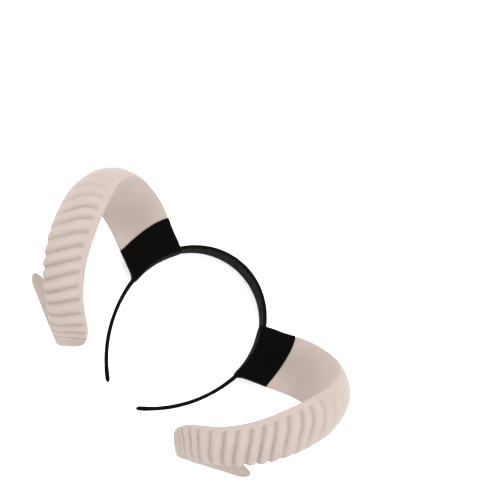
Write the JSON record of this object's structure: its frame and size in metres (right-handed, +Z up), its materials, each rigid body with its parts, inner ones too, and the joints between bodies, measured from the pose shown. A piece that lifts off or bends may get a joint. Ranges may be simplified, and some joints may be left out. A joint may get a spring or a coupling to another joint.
{
  "type": "ram horns headband",
  "caption": "Springy hair hoop that carries curled, ribbed ram horns of soft foam on fabric sleeves.",
  "frame": {"origin": "middle of the bounding box's footprint, on the surface that the part lies on", "axes": "+Z up, +Y from the hoop's tips to its crown, +X to the right horn"},
  "size_m": [0.2792, 0.1578, 0.1263],
  "materials": {
    "hoop_plastic": "satin black moulded plastic",
    "horn_foam": "soft matte off-white foam with a fine fabric skin",
    "sleeve_fabric": "matte black stretch fabric"
  },
  "bodies": {
    "root": {"headband_hoop": "hoop_plastic", "horn_right": "horn_foam", "horn_left": "horn_foam", "sleeve_right": "sleeve_fabric", "sleeve_left": "sleeve_fabric"}
  },
  "joints": []
}
